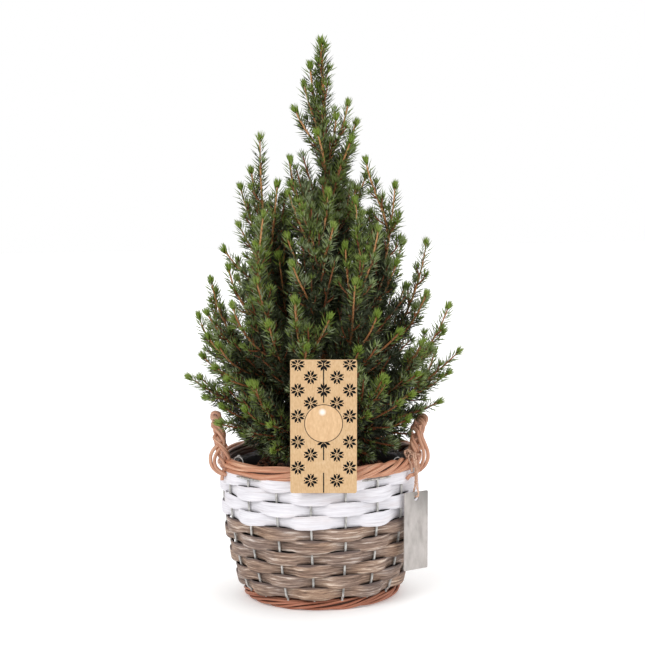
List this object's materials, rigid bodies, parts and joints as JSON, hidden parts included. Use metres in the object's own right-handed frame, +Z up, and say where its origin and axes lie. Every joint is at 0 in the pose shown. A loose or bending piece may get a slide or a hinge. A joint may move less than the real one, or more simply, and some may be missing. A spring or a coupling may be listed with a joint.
{
  "type": "potted dwarf spruce",
  "caption": "Narrow upright dwarf spruce in a nursery pot, set in a round woven basket with side handles, a bare card on a stake and a bare metal hang tag.",
  "frame": {"origin": "centre of the flat underside of the basket's base board, on the surface it stands on", "axes": "+Z up along the basket's axis; -Y is the front, where the card faces; +X is to the right seen from the front, towards the hang tag's side"},
  "size_m": [0.2868, 0.2472, 0.5762],
  "materials": {
    "white_willow": "thin white lime paint over chip willow, matt, with faint grey streaks",
    "weathered_willow": "weathered taupe chip willow, matt, with lighter streaks and dark edges",
    "peeled_willow": "steamed willow rods, orange tan, low sheen",
    "wire_steel": "dull galvanised wire",
    "plywood": "raw plywood and wood strip",
    "pot_plastic": "black moulded nursery plastic",
    "peat": "dark potting peat with bark crumbs",
    "kraft_card": "uncoated kraft board with a traditional eight-petal star pattern and no words",
    "zinc": "brushed zinc sheet, bare",
    "jute": "two-ply jute twine",
    "bark": "orange-brown scaly bark",
    "needles": "dark green needles with brighter shoot tips"
  },
  "bodies": {
    "root": {"base_board": "plywood", "bough_back_left": "bark", "bough_back_right": "bark", "bough_back_skirt": "bark", "bough_back_tall": "bark", "bough_front_centre": "bark", "bough_front_left": "bark", "bough_front_low": "bark", "bough_front_right": "bark", "bough_front_skirt_left": "bark", "bough_front_skirt_right": "bark", "bough_left_low": "bark", "bough_left_mid": "bark", "bough_left_skirt": "bark", "bough_left_tall": "bark", "bough_right_low": "bark", "bough_right_mid": "bark", "bough_right_skirt": "bark", "bough_right_tall": "bark", "card": "kraft_card", "card_stake": "plywood", "handle_left": "peeled_willow", "handle_right": "peeled_willow", "jute_twine": "jute", "needles_back_left": "needles", "needles_back_right": "needles", "needles_back_skirt": "needles", "needles_back_tall": "needles", "needles_front_centre": "needles", "needles_front_left": "needles", "needles_front_low": "needles", "needles_front_right": "needles", "needles_front_skirt_left": "needles", "needles_front_skirt_right": "needles", "needles_leader": "needles", "needles_left_low": "needles", "needles_left_mid": "needles", "needles_left_skirt": "needles", "needles_left_tall": "needles", "needles_right_low": "needles", "needles_right_mid": "needles", "needles_right_skirt": "needles", "needles_right_tall": "needles", "nursery_pot": "pot_plastic", "soil": "peat", "trunk": "bark", "weave_row_01": "white_willow", "weave_row_02": "white_willow", "weave_row_03": "white_willow", "weave_row_04": "white_willow", "weave_row_05": "weathered_willow", "weave_row_06": "weathered_willow", "weave_row_07": "weathered_willow", "weave_row_08": "weathered_willow", "weave_row_09": "weathered_willow", "weave_row_10": "weathered_willow", "willow_foot": "peeled_willow", "willow_rim": "peeled_willow", "wire_frame": "wire_steel", "zinc_tag": "zinc"}
  },
  "joints": []
}
